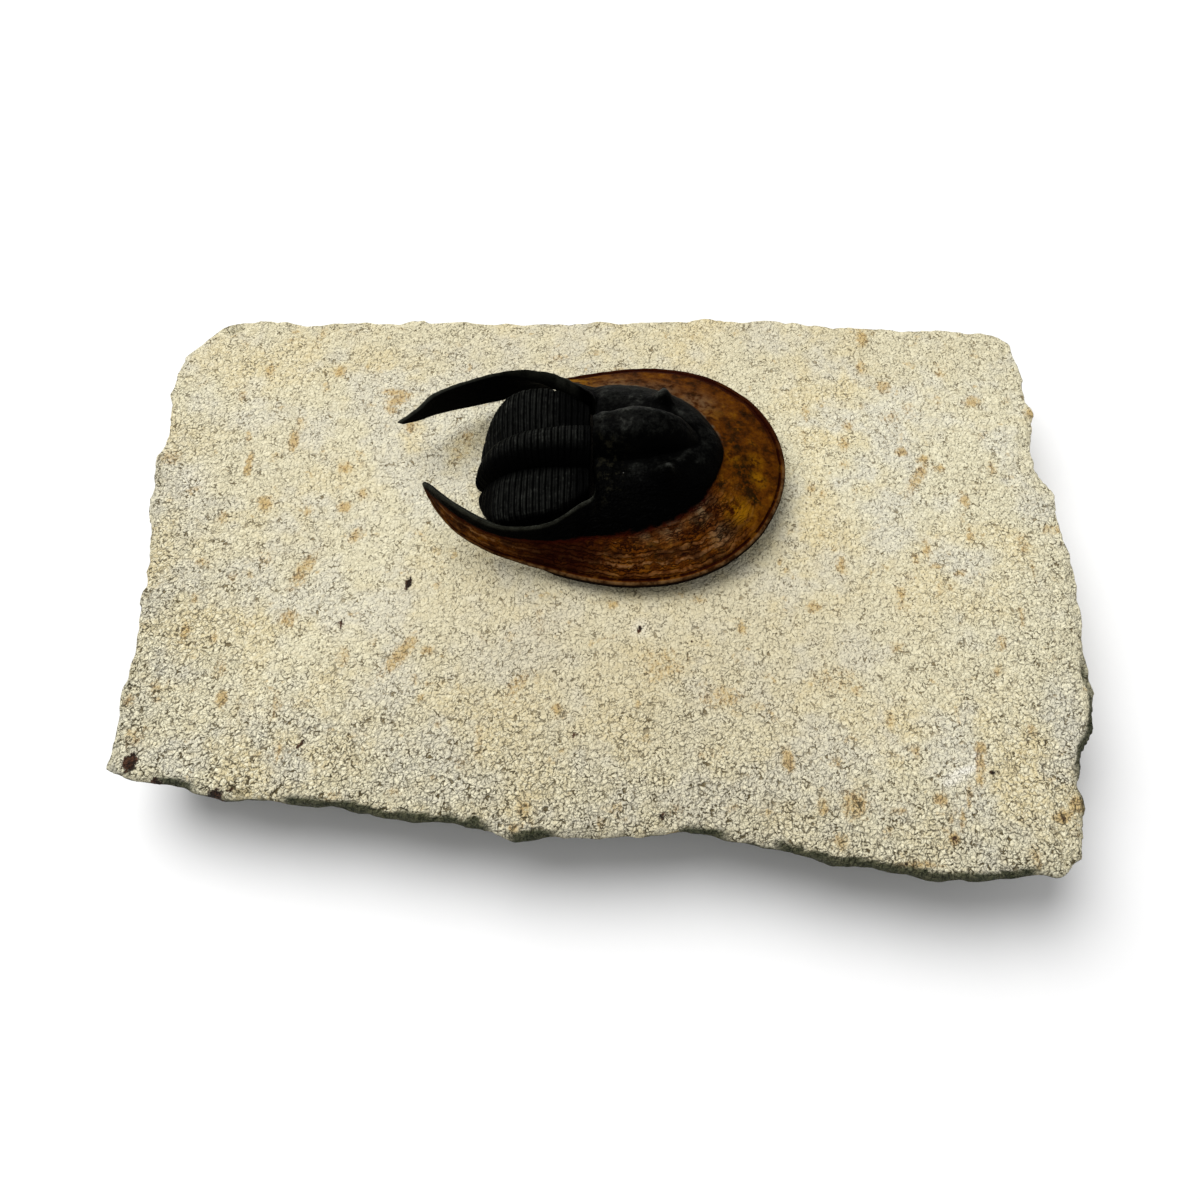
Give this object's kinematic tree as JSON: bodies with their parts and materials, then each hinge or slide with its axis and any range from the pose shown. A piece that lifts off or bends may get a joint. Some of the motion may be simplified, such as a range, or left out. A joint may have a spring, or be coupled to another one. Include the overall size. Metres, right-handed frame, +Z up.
{
  "type": "fossil scotoharpes trilobite on matrix",
  "caption": "Horseshoe-headed trilobite fossil with a broad brim and two long side blades, standing in relief on a flat limestone block with rough broken edges.",
  "frame": {"origin": "middle of the block's length and width, on its flat base", "axes": "+X along the animal towards the front of its head, +Y across it towards the block's back edge, +Z up out of the worked face"},
  "size_m": [0.1236, 0.083, 0.0267],
  "materials": {
    "limestone": "matt, granular, tool-worked stone",
    "fossil_shell": "satin black calcite with an orange-brown brim"
  },
  "bodies": {
    "root": {"matrix_slab": "limestone", "cephalon": "fossil_shell", "thorax": "fossil_shell", "pygidium": "fossil_shell"}
  },
  "joints": []
}
